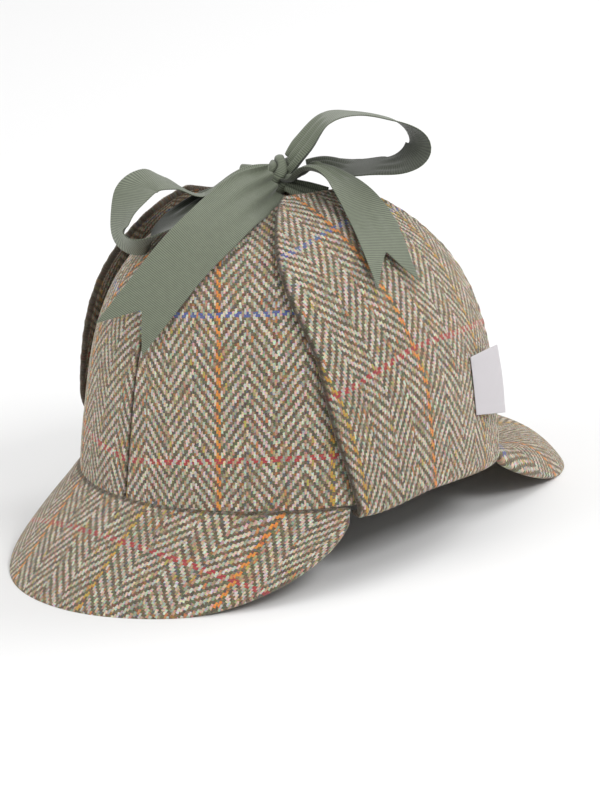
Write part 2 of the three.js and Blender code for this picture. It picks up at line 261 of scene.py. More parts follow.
def crown_point(turn, climb):
    """An ellipse at each height, scaled by the spread and slid forward with the height squared."""
    rim_share = rim_rise(-RIM_HALF_LENGTH * np.cos(turn)) / CROWN_HEIGHT
    share = rim_share + (1.0 - rim_share) * climb_share(climb)
    width = crown_spread(share)
    return np.stack([
        RIM_HALF_WIDTH * width * np.sin(turn),
        -RIM_HALF_LENGTH * width * np.cos(turn) - APEX_FORWARD * share ** 2,
        CROWN_HEIGHT * share,
    ], -1)


def meridian_length(height):
    """Length of the crown's middle line from the rim up to a height, by summing short steps."""
    climb = np.linspace(0.0, 0.999, 600)
    line = crown_point(np.full(600, math.pi / 4), climb)
    return np.interp(height, line[:, 2], travelled(line, 0))


def ripple(points, size, seed):
    """Soft unevenness of hand-pressed cloth: a sum of five sine waves in seeded directions."""
    rng = np.random.default_rng(seed)
    total = np.zeros(points.shape[:-1])
    for _ in range(5):
        wave = rng.normal(size=3)
        wave *= 2.0 * math.pi / (np.linalg.norm(wave) * rng.uniform(26.0, 60.0))
        total += np.sin(points @ wave + rng.uniform(0.0, 6.28))
    return total * size / 5.0


def crown_cloth(points, middle_turn, cloth):
    """Across: level distance from the quarter's middle plane. Along: length up the meridian,
    plus the square of the distance across, because a quarter's rim is cut as a curve."""
    level = points[..., 0] * math.cos(middle_turn) + points[..., 1] * math.sin(middle_turn)
    across = level + 2.7e-5 * level ** 3
    along = meridian_length(points[..., 2]) + 0.00118 * level ** 2
    return np.stack([cloth["way"] * across + cloth["shift"], along - CROWN_CLOTH_START], -1)


def crown_quarter(index, sizes, materials):
    """A quarter between two seams, its edges rounded in to the seam and its middle puffed out."""
    start = index * math.pi / 2
    across = edge_spread(spread(sizes.crown_columns), QUARTER_SPAN)
    climb = edge_spread(spread(sizes.crown_rows), QUARTER_CLIMB) * TOP_CLIMB
    turn, up = np.meshgrid(start + SEAM_HALF_GAP + across * (math.pi / 2 - 2.0 * SEAM_HALF_GAP),
                           climb)
    outside = crown_point(turn, up)
    normals = grid_normals(outside)
    rim = travelled(outside, 0)
    seam = from_ends(travelled(outside, 1), 1)
    near = np.minimum(seam, from_ends(rim, 0))
    puff = sizes.crown_puff / MM * smooth(0.0, 26.0, seam) * smooth(0.0, 20.0, rim)
    uneven = ripple(outside, 0.5, CROWN_SEED + index) * smooth(0.0, 8.0, near)
    half = sizes.crown_wall / MM / 2.0
    wall = half * round_edge(near, 1.1)
    middle = raised(outside, normals, puff + uneven - half)
    cloth_map = crown_cloth(outside, start + math.pi / 4, QUARTER_CLOTH[index])
    relief = twill_relief(cloth_map, sizes.weave_relief / MM) * smooth(0.0, 3.0, near)
    # painted shade: darker along the seams and along the rim
    painted_shade = np.maximum(0.75 * smooth(1.6, 0.2, seam), 0.5 * smooth(0.7, 0.1, rim))
    return pillow(QUARTERS[index] + "_cloth", middle, normals, wall + relief, wall, cloth_map,
                  materials, painted_shade)


# ---- the peaks ---------------------------------------------------------------------------------

PEAK_SEAM_INSET = 0.5
PEAK_SEAM_DROP = 2.45
PEAK_ARCH_POWER = 2.8
# About how long and deep a peak is, and the rows tucked in under the crown, as shares of it.
PEAK_SPAN = 210.0
PEAK_REACH = 56.0
PEAK_TUCK = np.array((-0.075, -0.05, -0.025))
# half_span is degrees round the rim. shift and along place the cloth, which is drawn even within
# even_within millimetres of the middle and pulled outwards beyond.
PEAKS = (
    {"name": "front_peak", "facing": -1.0, "half_span": 67.3, "reach": 42.0, "drop": 38.5,
     "end_drop": -5.5, "flare": 12.0, "arch": 0.1, "round_power": 5.0, "shift": 37.7,
     "along": -17.0, "even_within": 62.0, "seed": 21},
    {"name": "rear_peak", "facing": 1.0, "half_span": 52.0, "reach": 49.0, "drop": 19.5,
     "end_drop": 8.0, "flare": 0.0, "arch": 0.9, "round_power": 6.0, "shift": 22.0,
     "along": -50.0, "even_within": 30.0, "seed": 22},
)


def peak_surface(peak, u, v):
    """The rim's ellipse, moved straight out by the reach and down by the drop, both fading to
    little at the ends; the fall mixes a straight slope with a late arch."""
    turn = math.radians(peak["half_span"]) * u
    fade = np.maximum(1.0 - np.abs(u) ** peak["round_power"], 0.0)
    reach = peak["reach"] * fade ** 0.6 + 1.5
    drop = (peak["drop"] + peak["end_drop"] * u * u) * fade ** 0.5 + 1.5
    flare = peak["flare"] * np.sign(u) * u ** 4 * fade ** 0.3
    fallen = v + (np.maximum(v, 0.0) ** PEAK_ARCH_POWER - v) * peak["arch"]
    facing = peak["facing"]
    seam_y = facing * (RIM_HALF_LENGTH - PEAK_SEAM_INSET) * np.cos(turn)
    return np.stack([
        -facing * ((RIM_HALF_WIDTH - PEAK_SEAM_INSET) * np.sin(turn) + flare * v),
        seam_y + facing * reach * v,
        rim_rise(seam_y) - PEAK_SEAM_DROP - drop * fallen,
    ], -1)


def peak_body(peak, sizes, materials):
    """Both faces of the stiffened peak, meeting in a rounded outer edge. The cloth's map across
    gains the square of the distance past its even part; along is the length from the seam, less
    a share of how far the seam has curved back."""
    even = edge_spread(spread(sizes.peak_columns), PEAK_SPAN, (0.3, 0.8, 1.6, 2.8)) * 2.0 - 1.0
    out = edge_spread(spread(sizes.peak_rows), PEAK_REACH, (0.2, 0.5, 1.0, 1.6, 2.4))
    u, v = np.meshgrid(np.sin(even * math.pi / 2) * 0.998, np.concatenate([PEAK_TUCK, out]))
    middle = peak_surface(peak, u, v)
    normals = grid_normals(middle)
    column = travelled(middle, 0)
    near = np.minimum(from_ends(travelled(middle, 1), 1), from_ends(column, 0))
    from_seam = column - column[len(PEAK_TUCK)][None, :]
    middle = raised(middle, normals, ripple(middle, 0.45, peak["seed"]) * smooth(0.0, 10.0, column))
    middle[..., 2] += 0.8 * smooth(12.0, 0.0, from_seam)
    half = sizes.peak_thickness / MM / 2.0 * round_edge(near, 2.2)
    along = from_seam - 0.54 * (RIM_HALF_LENGTH - np.abs(middle[:1, :, 1]))
    level = middle[..., 0]
    past = np.maximum(np.abs(level) - peak["even_within"], 0.0)
    across = level + np.sign(level) * 0.028 * past ** 2
    cloth_map = np.stack([across + peak["shift"], along + peak["along"]], -1)
    relief = twill_relief(cloth_map, sizes.weave_relief / MM) * smooth(0.0, 3.0, near)
    # painted shade: darker along the seam under the crown
    painted_shade = 0.7 * smooth(1.0, 0.1, from_seam)
    return pillow(peak["name"] + "_cloth", middle, normals, half + relief, half, cloth_map,
                  materials, painted_shade)


# ---- the ear flaps -----------------------------------------------------------------------------

FLAP_LIFT = 2.8
FLAP_BASE_HALF_WIDTH = 50.5
FLAP_EXTRA_HALF_WIDTH = 9.5
FLAP_WIDEST_RISE = 0.42
FLAP_TIP_POWER = 2.6
FLAP_BASE_CENTRE = 11.5
FLAP_FORWARD_LEAN = 16.0
FLAP_BLUNT_END = 0.97
# About how wide and high a flap is, which sets how close its edge rows lie.
FLAP_SPAN = 112.0
FLAP_CLIMB = 128.0
FLAP_FOLD_ROWS = 11
# How far below the first check line the rim lies on a flap, and how much less the cloth below
# that line is drawn out.
FLAP_CLOTH_START = 62.3
FLAP_CLOTH_EASE = 0.94
# tip_rise is the tip's share of the way to the crown's top. edge_lift is how far the front edge
# stands off; forward and tip_forward are how far that edge and its tip are drawn forward.
FLAPS = (
    {"name": "left_ear_flap", "side": 1.0, "tip_rise": 0.93, "edge_lift": 2.2, "forward": 0.0,
     "tip_forward": 5.0, "seed": 31},
    {"name": "right_ear_flap", "side": -1.0, "tip_rise": 0.8, "edge_lift": 4.6, "forward": 10.0,
     "tip_forward": 0.0, "seed": 32},
)
# The fold from inside the rim (place 0) to its outside (1).
FLAP_FOLD = {"place": (0.0, 0.25, 0.5, 0.75, 1.0), "lift": (-1.0, 0.6, 2.2, 2.8, 2.8),
             "height": (-2.1, -3.0, -2.6, -1.2, 0.0), "sag": (0.0, 0.7, 1.1, 0.9, 0.0)}
# Up a flap: how far forward or back the cloth's middle thread lies, and how far from it the next
# check line does.
FLAP_GRAIN = {"rise": (0.0, 0.07, 0.34, 0.44, 0.52, 0.58, 0.7, 0.85, 1.0),
              "middle": (3.0, 3.0, 2.0, -2.5, -6.6, -9.7, -13.5, -17.0, -20.0),
              "check": (39.5, 40.5, 47.5, 48.5, 49.0, 49.0, 49.0, 49.0, 49.0)}


def side_point(y, angle, lift):
    """Where a line from the middle plane, tilted up by the angle, leaves the crown grown by lift.
    Found by halving the distance forty times."""
    c, s = np.cos(angle), np.sin(angle)
    near, far = np.zeros_like(y), np.full_like(y, 200.0)
    for _ in range(40):
        middle = (near + far) / 2.0
        share = s * middle / (CROWN_HEIGHT + lift)
        shifted = y + APEX_FORWARD * share ** 2
        across = np.hypot(c * middle / (RIM_HALF_WIDTH + lift), shifted / (RIM_HALF_LENGTH + lift))
        within = (share < 1.0) & (across < crown_spread(share))
        near, far = np.where(within, middle, near), np.where(within, far, middle)
    return np.stack([c * near, y, s * near], -1)


def flap_middle(rise):
    """The petal's middle line, leaning forward with the rise squared."""
    return FLAP_BASE_CENTRE - FLAP_FORWARD_LEAN * rise ** 2


def flap_half_width(rise):
    """A quarter sine up to the widest place, then a rounded end."""
    swell = np.sin(np.clip(rise / FLAP_WIDEST_RISE, 0.0, 1.0) * math.pi / 2)
    beyond = np.clip((rise - FLAP_WIDEST_RISE) / (1.0 - FLAP_WIDEST_RISE), 0.0, 1.0)
    width = FLAP_BASE_HALF_WIDTH + FLAP_EXTRA_HALF_WIDTH * swell
    return width * np.sqrt(1.0 - beyond ** FLAP_TIP_POWER)


def flap_surface(flap, across, travel):
    """The fold under the rim for a travel of -1 to 0, then the petal from 0 to 1, whose front
    edge is drawn forward and stands off on a bell curve."""
    rise = FLAP_BLUNT_END * np.sin(np.clip(travel, 0.0, 1.0) * math.pi / 2)
    half_width = flap_half_width(rise)
    y = flap_middle(rise * flap["tip_rise"]) + across * half_width
    edge_pull = flap["forward"] * smooth(0.0, 0.25, rise) * smooth(1.0, 0.6, rise)
    tip_pull = flap["tip_forward"] * smooth(0.5, 0.75, rise) * smooth(1.02, 0.78, rise)
    y = y - (edge_pull + tip_pull) * smooth(0.1, 1.0, -across)
    bell = np.exp(-((1.0 + across) * half_width / 13.0) ** 2)
    lift = (FLAP_LIFT + flap["edge_lift"] * bell * smooth(0.0, 0.18, rise)
            + 1.8 * smooth(0.8, 0.97, rise))
    petal = side_point(y, rise * flap["tip_rise"] * math.pi / 2, lift)
    petal[..., 2] += rim_rise(y) * (1.0 - rise) ** 4
    place = np.clip(travel + 1.0, 0.0, 1.0)
    lift, height, sag = (np.interp(place, FLAP_FOLD["place"], FLAP_FOLD[key])
                         for key in ("lift", "height", "sag"))
    folded_y = FLAP_BASE_CENTRE + across * FLAP_BASE_HALF_WIDTH
    fold = side_point(folded_y, np.zeros_like(across), lift)
    fold[..., 2] = rim_rise(folded_y) + height - sag * (0.5 - across / 2.0)
    points = np.where((travel >= 0.0)[..., None], petal, fold)
    points[..., 0] *= flap["side"]
    return points


def soften(points, passes):
    """Each inner point moved towards the mean of its row and column neighbours, again and again."""
    result = points.copy()
    for _ in range(passes):
        rows = result[:-2, 1:-1] + result[2:, 1:-1]
        columns = result[1:-1, :-2] + result[1:-1, 2:]
        result[1:-1, 1:-1] = (result[1:-1, 1:-1] + (rows + columns) / 4.0) / 2.0
    return result


def flap_cloth(middle, from_rim):
    """Across: distance from the middle thread, stretched so that the next check line falls where
    the flap has it. Along: length up from the rim, which bends up towards the front edge."""
    rise = np.arctan2(middle[..., 2], np.abs(middle[..., 0])) / (math.pi / 2)
    rise = np.clip(rise, 0.0, 1.0)
    grain = middle[..., 1] - np.interp(rise, FLAP_GRAIN["rise"], FLAP_GRAIN["middle"])
    level = CHECK_ACROSS * grain / np.interp(rise, FLAP_GRAIN["rise"], FLAP_GRAIN["check"])
    along = from_rim + 0.09 * (np.hypot(grain, 20.0) - grain) - FLAP_CLOTH_START
    along = np.where(along < 0.0, along * FLAP_CLOTH_EASE, along)
    return np.stack([level + 1.4e-5 * level ** 3 + 2.0 * CHECK_ACROSS, along], -1)


def flap_body(flap, sizes, materials):
    """Both faces of the padded petal, rounded at its edge, with a rolled rim and slight puckers,
    which are sines of the length up the flap that fade away from its side edges."""
    across = edge_spread(spread(sizes.flap_columns), FLAP_SPAN, (0.15, 0.4, 0.8, 1.4, 2.0, 3.0))
    fold_rows = np.linspace(-1.0, 0.0, FLAP_FOLD_ROWS + 1)[:-1]
    petal_rows = edge_spread(spread(sizes.flap_rows), FLAP_CLIMB, (0.3, 0.8, 1.4, 2.2))
    u, v = np.meshgrid((across * 2.0 - 1.0) * flap["side"],
                       np.concatenate([fold_rows, petal_rows]))
    middle = flap_surface(flap, u, v)
    softened = FLAP_FOLD_ROWS + 4
    middle[:softened] = soften(middle[: softened + 1], 6)[:-1]
    normals = grid_normals(middle)
    column = travelled(middle, 0)
    side_edge = from_ends(travelled(middle, 1), 1)
    near = np.minimum(side_edge, from_ends(column, 0))
    uneven = ripple(middle, 0.5, flap["seed"]) * smooth(0.0, 9.0, near)
    bulge = 0.35 * smooth(3.0, 12.0, near) + uneven
    roll = 0.35 * np.exp(-((near - 3.0) / 1.6) ** 2)
    pucker = 0.18 * np.sin(column * 0.9 + 3.0 * np.sin(column * 0.11))
    pucker = pucker * np.exp(-((side_edge - 4.0) / 3.0) ** 2)
    half = sizes.flap_thickness / MM / 2.0
    front = (half + bulge + roll + pucker) * round_edge(near, 2.0)
    back = half * round_edge(near, 2.0)
    # painted shade: darker round the flap's edges, and wider and darker along its front edge,
    # standing in for the shadow line there
    front_edge = np.where(u < -0.3, 1.0, 0.0)
    painted_shade = np.maximum(0.8 * smooth(1.1, 0.1, near), 0.92 * smooth(2.6, 0.5, near) * front_edge)
    cloth_map = flap_cloth(middle, column - column[FLAP_FOLD_ROWS][None, :])
    front = front + twill_relief(cloth_map, sizes.weave_relief / MM) * smooth(0.0, 3.0, near)
    return pillow(flap["name"] + "_cloth", middle, normals, front, back, cloth_map, materials,
                  painted_shade)


# ---- the label ---------------------------------------------------------------------------------

LABEL_WIDTH = 20.0
LABEL_HEIGHT = 31.0
LABEL_HALF_THICKNESS = 0.22
LABEL_GAP = 1.3
# At the sewn front edge (place 0) and at the free one (1): how far back it lies, the angles of its
# lower and upper ends above the rim, and how far it stands off the flap.
LABEL_EDGES = {"place": (0.0, 1.0), "along": (37.0, 60.5), "low": (18.3, 16.5),
               "high": (34.3, 36.5), "stand_off": (0.0, 5.0)}


def label_body(sizes, materials):
    """A small woven rectangle, sewn at one edge and standing off at the other, bowed out by half
    a sine down it and a quarter sine across it."""
    u, v = np.meshgrid(edge_spread(26, LABEL_WIDTH, (0.1, 0.3, 0.6)),
                       edge_spread(38, LABEL_HEIGHT, (0.1, 0.3, 0.6)))
    along, low, high, stand_off = (np.interp(u, LABEL_EDGES["place"], LABEL_EDGES[key])
                                   for key in ("along", "low", "high", "stand_off"))
    lift = FLAP_LIFT + sizes.flap_thickness / MM / 2.0 + LABEL_GAP + stand_off
    middle = side_point(along, np.radians(low + (high - low) * v), lift)
    normals = grid_normals(middle)
    row, column = travelled(middle, 1), travelled(middle, 0)
    bow = np.sin(column / LABEL_HEIGHT * math.pi) * np.sin(row / LABEL_WIDTH * math.pi / 2)
    middle = raised(middle, normals, 0.5 * bow)
    near = np.minimum(from_ends(row, 1), from_ends(column, 0))
    hem = 0.14 * smooth(4.2, 3.6, column) + 0.14 * smooth(4.2, 3.6, column[-1:] - column)
    half = (LABEL_HALF_THICKNESS + hem) * round_edge(near, 0.35)
    piece = pillow("woven_label_cloth", middle, normals, half, half, np.stack([row, column], -1),
                   materials)
    return piece, (row[:, -1].mean() * MM, column[-1].mean() * MM)


# ---- the ribbons -------------------------------------------------------------------------------

RIBBON_WIDTH = 25.4
SWALLOWTAIL_DEPTH = 17.0
BOW_CENTRE = np.array([-1.0, -3.0, 132.6])
BOW_ALONG = np.array([1.0, 1.0, 0.0]) / math.sqrt(2.0)
BOW_OUT = np.array([1.0, -1.0, 0.0]) / math.sqrt(2.0)
BOW_UP = np.array([0.0, 0.0, 1.0])
# Each row is a place on the ribbon's middle line, in the bow's own frame, with how far the ribbon
# is twisted there (degrees) and how wide it is: (along, out, up, turn, width).
RIBBONS = {
    "large_loop": (
        (3, 3, 4, 16, 15), (6.5, 5, 9.8, 16, 19.5), (11, 4, 15.5, 14, 22), (20, 2, 25.5, 2, 25.4),
        (33, 0, 27.2, -9, 25.4), (46, -1, 25, -10, 25.4), (56, 0, 21, -15, 25.4),
        (61.5, 2, 13, -24, 25.4), (56, 3, 6.2, -13, 25.4), (43, 2, 3.4, -4, 25.4),
        (30, -4.5, 1.8, -3, 25.4), (19, -5, 3.4, -3, 19), (11, -4.5, 2.4, -3, 12),
    ),
    "small_loop": (
        (-5, 1, 2, 4, 10), (-11, 2, 2, 4, 13), (-24, 7, -2, 8, 19), (-37, 11, -7.5, 12, 25.4),
        (-47.5, 15, -2.5, 9, 25.4), (-53, 17.5, 0.2, 3, 25.4), (-58.5, 20, 1.2, -12, 25.4),
        (-63, 22, -0.6, -24, 25.4), (-66.5, 25.5, -3.8, -28, 25.4), (-71.5, 30.5, -13, -20, 25.4),
        (-70.5, 35, -23, -25, 25.4), (-63.5, 38, -25, -29, 25.4), (-56, 36.5, -20.8, -8, 25.4),
        (-46, 28, -14, 8, 25.4), (-33, 17, -8, 4, 22), (-22, 9, -5.5, 0, 17),
        (-11.5, 3, -3.5, 0, 11),
    ),
    "front_tail": (
        (-3.5, 11.5, -1.6, 98, 16), (-10, 22.5, -3.2, 117, 22), (-18.4, 38, -5, 117, 24.5),
        (-30, 53, -12.5, 106, 25.4), (-42, 63, -22.5, 95, 25.4), (-54, 70, -36, 92, 25.4),
        (-66, 73, -51, 90, 25.4), (-72, 73, -59, 90, 25.4),
    ),
    "side_tail": (
        (3, 4, -1, -8, 12), (7.5, 10, 1.6, -16, 16), (12, 15, 5.4, -16, 19),
        (18.5, 18.5, 5.8, -6, 22), (27.5, 23, 0.9, 14, 25.4), (38.5, 31, -11.4, 36, 25.4),
        (44, 40.5, -20.8, 42, 25.4), (49, 50, -32, 42, 25.4), (52, 54, -39, 42, 25.4),
    ),
    "right_tie_root": (
        (-24, -24, -8.5, 10, 22), (-15, -15.5, -5.5, 10, 15), (-5, -5.5, -3, 10, 9),
    ),
    "left_tie_root": (
        (20, 12, -8.2, -24, 16), (13, 11.5, -6, -26, 14), (2.5, 9, -3.4, -24, 9),
    ),
}
SWALLOWTAILS = ("front_tail", "side_tail")


def bow_point(place):
    """Along, out and up of the bow's frame as a point of the hat's."""
    along, out, up = place[..., :1], place[..., 1:2], place[..., 2:3]
    return BOW_CENTRE + along * BOW_ALONG + out * BOW_OUT + up * BOW_UP


def spline(knots, at):
    """A natural cubic spline through rows of values, spaced by the distance between the places
    that their first three give. Returns its values at these shares of its length, and that length.
    """
    steps = np.linalg.norm(np.diff(knots[:, :3], axis=0), axis=1)
    reach = np.concatenate([[0.0], np.cumsum(steps)])
    count = len(knots)
    system = np.eye(count)
    right = np.zeros_like(knots)
    inner = np.arange(1, count - 1)
    system[inner, inner - 1] = steps[:-1]
    system[inner, inner] = 2.0 * (steps[:-1] + steps[1:])
    system[inner, inner + 1] = steps[1:]
    slope = np.diff(knots, axis=0) / steps[:, None]
    right[1:-1] = 6.0 * (slope[1:] - slope[:-1])
    bend = np.linalg.solve(system, right)
    place = np.asarray(at) * reach[-1]
    k = np.clip(np.searchsorted(reach, place) - 1, 0, count - 2)
    h = steps[k][..., None]
    a, b = (reach[k + 1] - place)[..., None], (place - reach[k])[..., None]
    curve = (bend[k] * a ** 3 + bend[k + 1] * b ** 3) / (6.0 * h)
    chord = (knots[k] / h - bend[k] * h / 6.0) * a + (knots[k + 1] / h - bend[k + 1] * h / 6.0) * b
    return curve + chord, reach[-1]


def ribbon_body(name, sizes, materials):
    """A flat band carried along the spline. Where it is narrower than it was woven it is gathered
    into pleats: a sine across it, as high as the square root of the spare width allows."""
    knots = np.array(RIBBONS[name], float)
    length = spline(knots, 0.0)[1]
    rows = edge_spread(max(int(length / (sizes.ribbon_step / MM)), 8), length, (0.1, 0.25))
    across = edge_spread(24, RIBBON_WIDTH, (0.08, 0.2, 0.5, 1.0)) * 2.0 - 1.0
    notch = SWALLOWTAIL_DEPTH / length if name in SWALLOWTAILS else 0.0
    place = rows[:, None] * (1.0 - notch * (1.0 - np.abs(across)))[None, :]
    table = spline(knots, place)[0]
    line = bow_point(table[..., :3])
    ahead = bow_point(spline(knots, np.minimum(place + 1e-3, 1.0))[0][..., :3])
    behind = bow_point(spline(knots, np.maximum(place - 1e-3, 0.0))[0][..., :3])
    direction = unit(ahead - behind)
    level = unit(BOW_OUT - direction * (direction @ BOW_OUT)[..., None])
    turn = np.radians(table[..., 3:4])
    sideways = level * np.cos(turn) + np.cross(direction, level) * np.sin(turn)
    facing = unit(np.cross(direction, sideways))
    width = np.clip(table[..., 4:5], 6.0, RIBBON_WIDTH)
    gather = np.sqrt(np.clip(RIBBON_WIDTH / width - 1.0, 0.0, 1.5))
    pleat = np.sin(across[None, :, None] * 3.0 * math.pi + 0.6)
    pleat = np.clip(gather * width / 9.0, 0.0, 1.5) * pleat
    middle = line + sideways * across[None, :, None] * width / 2.0 + facing * pleat
    normals = grid_normals(middle)
    side_edge = from_ends(travelled(middle, 1), 1)
    near = np.minimum(side_edge, from_ends(travelled(middle, 0), 0))
    selvage = 0.05 * np.exp(-((side_edge - 0.6) / 0.35) ** 2)
    half = (sizes.ribbon_thickness / MM / 2.0 + selvage) * round_edge(near, 0.25)
    sideways_map = np.broadcast_to(across[None, :] * RIBBON_WIDTH / 2.0, place.shape)
    cloth_map = np.stack([sideways_map, place * length], -1)
    # painted shade: the darker shaded copy of the grosgrain goes on the face towards a loop's
    # middle, or towards the crown under a tail
    towards = middle.mean((0, 1)) if "loop" in name else np.array([0.0, 0.0, 60.0])
    if (normals * (towards - middle)).sum(-1).mean() > 0.0:
        materials = materials[::-1]
    piece = pillow(name + "_ribbon", middle, normals, half, half, cloth_map, materials)
    return piece, length


KNOT_HALF_SIZE = (7.2, 9.0, 8.6)
KNOT_TILT = math.radians(24.0)
KNOT_GRID = (90, 150)
# The angle at each pole that a flat cap closes.
KNOT_CAP = 0.02


def cap(ring):
    """Quads that close an even ring of points, each joining one side of it to the other."""
    first, last = ring[: len(ring) // 2], ring[len(ring) // 2 :][::-1]
    return np.stack([first[:-1], first[1:], last[1:], last[:-1]], -1)


def knot_body():
    """A squarish ball wound with creased pleats. Its radius dips in sharp grooves, as one minus
    the absolute sine of the angle along its axis, and swells where the band crosses the front."""
    rows, columns = KNOT_GRID
    around, down = np.meshgrid(np.linspace(0.0, 2.0 * math.pi, columns, endpoint=False),
                               np.linspace(KNOT_CAP, math.pi - KNOT_CAP, rows))
    ball = np.stack([np.cos(down), np.sin(down) * np.cos(around),
                     np.sin(down) * np.sin(around)], -1)
    ball = np.sign(ball) * np.abs(ball) ** 0.82
    winding = down * 4.0 + 0.55 * np.sin(around * 2.0 + 0.6) + 0.3 * np.sin(around * 3.0)
    groove = (1.0 - np.abs(np.sin(winding))) ** 3 * np.sin(down) ** 0.5
    swell = 0.07 * np.sin(around * 2.0 + down * 2.0) + 0.04 * np.sin(around * 5.0 - down * 3.0)
    ball *= (1.0 - 0.2 * groove + swell * np.sin(down))[..., None]
    along, out, up = (ball[..., i] * KNOT_HALF_SIZE[i] for i in range(3))
    c, t = math.cos(KNOT_TILT), math.sin(KNOT_TILT)
    place = np.stack([along * c + up * t - 0.5, out + 1.0, up * c - along * t - 1.2], -1)
    index = np.arange(rows * columns).reshape(rows, columns)
    wrapped = np.concatenate([index, index[:, :1]], axis=1)
    faces = np.concatenate([quads(wrapped), cap(index[0, ::-1]), cap(index[-1])])
    maps = np.stack([down * 9.0 - 12.7, around * 8.0], -1).reshape(-1, 2)
    # painted shade: the grooves, at 0.8, go out as the knot's darkening attribute, so the grooves
    # are painted dark
    return bow_point(place).reshape(-1, 3), faces, maps, groove.ravel() * 0.8


# ---- materials ---------------------------------------------------------------------------------


def linear(hex_colour):
    """An sRGB hex colour as linear red, green, blue and full alpha."""
    channels = [int(hex_colour[i : i + 2], 16) / 255.0 for i in (1, 3, 5)]
    return tuple(c / 12.92 if c <= 0.04045 else ((c + 0.055) / 1.055) ** 2.4
                 for c in channels) + (1.0,)


def add_node(tree, kind, inputs=None, stops=(), stepped=False, **settings):
    """Adds a node, gives it its settings and colour stops, and sets or links each input given.

    Stepped stops hold their colour up to the next one. A Mix node takes its two colours on
    inputs 6 and 7 and gives the result on output 2.
    """
    made = tree.nodes.new(kind)
    for key, value in settings.items():
        setattr(made, key, value)
    if stops:
        ramp = made.color_ramp
        ramp.interpolation = "CONSTANT" if stepped else "LINEAR"
        while len(ramp.elements) < len(stops):
            ramp.elements.new(0.5)
        for element, (position, colour) in zip(ramp.elements, stops):
            element.position, element.color = position, colour
    for key, value in (inputs or {}).items():
        if isinstance(value, bpy.types.NodeSocket):
            tree.links.new(value, made.inputs[key])
        else:
            made.inputs[key].default_value = value
    return made


def start_material(name):
    """An empty material and its node tree."""
    material = bpy.data.materials.new(name)
    material.use_nodes = True
    material.node_tree.nodes.clear()
    return material, material.node_tree


# How far a thread's edge wanders over its loose fibres, as a share of its width.
FRAY = 0.9
# Each row is a Math node: its result's name, its operation, and its values, which are numbers or
# earlier results.
HERRINGBONE_STEPS = (
    ("even_end", "DIVIDE", "across", END_PITCH),
    ("even_pick", "DIVIDE", "along", PICK_PITCH),
    ("end_start", "SUBTRACT", "even_end", 0.5 * FRAY),
    ("pick_start", "SUBTRACT", "even_pick", 0.5 * FRAY),
    ("end", "MULTIPLY_ADD", "fray", FRAY, "end_start"),
    ("pick", "MULTIPLY_ADD", "fray_along", FRAY, "pick_start"),
    ("end_number", "FLOOR", "end"),
    ("pick_number", "FLOOR", "pick"),
    ("column", "DIVIDE", "across", HERRINGBONE_COLUMN),
    ("column_number", "FLOOR", "column"),
    ("column_odd", "FLOORED_MODULO", "column_number", 2.0),
    ("column_way", "MULTIPLY_ADD", "column_odd", 2.0, -1.0),
    ("diagonal", "MULTIPLY_ADD", "end_number", "column_way", "pick_number"),
    ("phase", "FLOORED_MODULO", "diagonal", 4.0),
    ("warp_up", "LESS_THAN", "phase", 1.5),
    ("end_odd", "FLOORED_MODULO", "end_number", 2.0),
    ("end_part", "FRACT", "end"),
    ("pick_part", "FRACT", "pick"),
    ("end_side", "MULTIPLY_ADD", "end_part", 2.0, -1.0),
    ("pick_side", "MULTIPLY_ADD", "pick_part", 2.0, -1.0),
    ("end_squared", "MULTIPLY", "end_side", "end_side"),
    ("pick_squared", "MULTIPLY", "pick_side", "pick_side"),
    ("warp_round", "SUBTRACT", 1.0, "end_squared"),
    ("weft_round", "SUBTRACT", 1.0, "pick_squared"),
    # a warp float runs over two picks, so it is highest where they meet
    ("float_place", "MULTIPLY_ADD", "phase", -1.0, 1.0),
    ("float_from_middle", "SUBTRACT", "pick_part", "float_place"),
    ("float_squared", "MULTIPLY", "float_from_middle", "float_from_middle"),
    ("float_dip", "MULTIPLY_ADD", "float_squared", -0.45, 1.0),
    ("warp_height", "MULTIPLY", "warp_round", "float_dip"),
    ("warp_raised", "MULTIPLY_ADD", "warp_height", 0.6, 0.4),
    ("weft_raised", "MULTIPLY", "weft_round", 0.42),
    # check lines: two ends wide, and two picks wide
    ("check_across", "DIVIDE", "across", CHECK_ACROSS),
    ("check_across_near", "ROUND", "check_across"),
    ("check_across_off", "SUBTRACT", "check_across", "check_across_near"),
    ("check_across_gap", "ABSOLUTE", "check_across_off"),
    ("on_warp_check", "LESS_THAN", "check_across_gap", 1.1 * END_PITCH / CHECK_ACROSS),
    ("warp_check_odd", "FLOORED_MODULO", "check_across_near", 2.0),
    ("check_along", "DIVIDE", "along", CHECK_ALONG),
    ("check_along_near", "ROUND", "check_along"),
    ("check_along_off", "SUBTRACT", "check_along", "check_along_near"),
    ("check_along_gap", "ABSOLUTE", "check_along_off"),
    ("on_weft_check", "LESS_THAN", "check_along_gap", 0.9 * PICK_PITCH / CHECK_ALONG),
    ("weft_check_odd", "FLOORED_MODULO", "check_along_near", 2.0),
    ("float_number", "MULTIPLY_ADD", "phase", -1.0, "pick_number"),
)
# Yarn colours, and the share of threads below which each is drawn.
PINK_WARP = ((0.0, linear("#DCC0AD")), (0.3, linear("#CDAE9A")), (0.55, linear("#BFA693")),
             (0.74, linear("#B98E74")), (0.86, linear("#9A8672")), (0.95, linear("#C27F4E")))
GREEN_WARP = ((0.0, linear("#CFD0C4")), (0.28, linear("#B4BDB0")), (0.55, linear("#A3AF9F")),
              (0.76, linear("#8E9C8A")), (0.9, linear("#A39A6E")), (0.97, linear("#B5A14E")))
MIXED_WEFT = ((0.0, linear("#5E5340")), (0.16, linear("#6E6B50")), (0.32, linear("#7C6049")),
              (0.46, linear("#57624C")), (0.6, linear("#4E4A42")), (0.7, linear("#8C7C66")),
              (0.82, linear("#56636A")), (0.9, linear("#7E4A38")), (0.96, linear("#A6743F")))
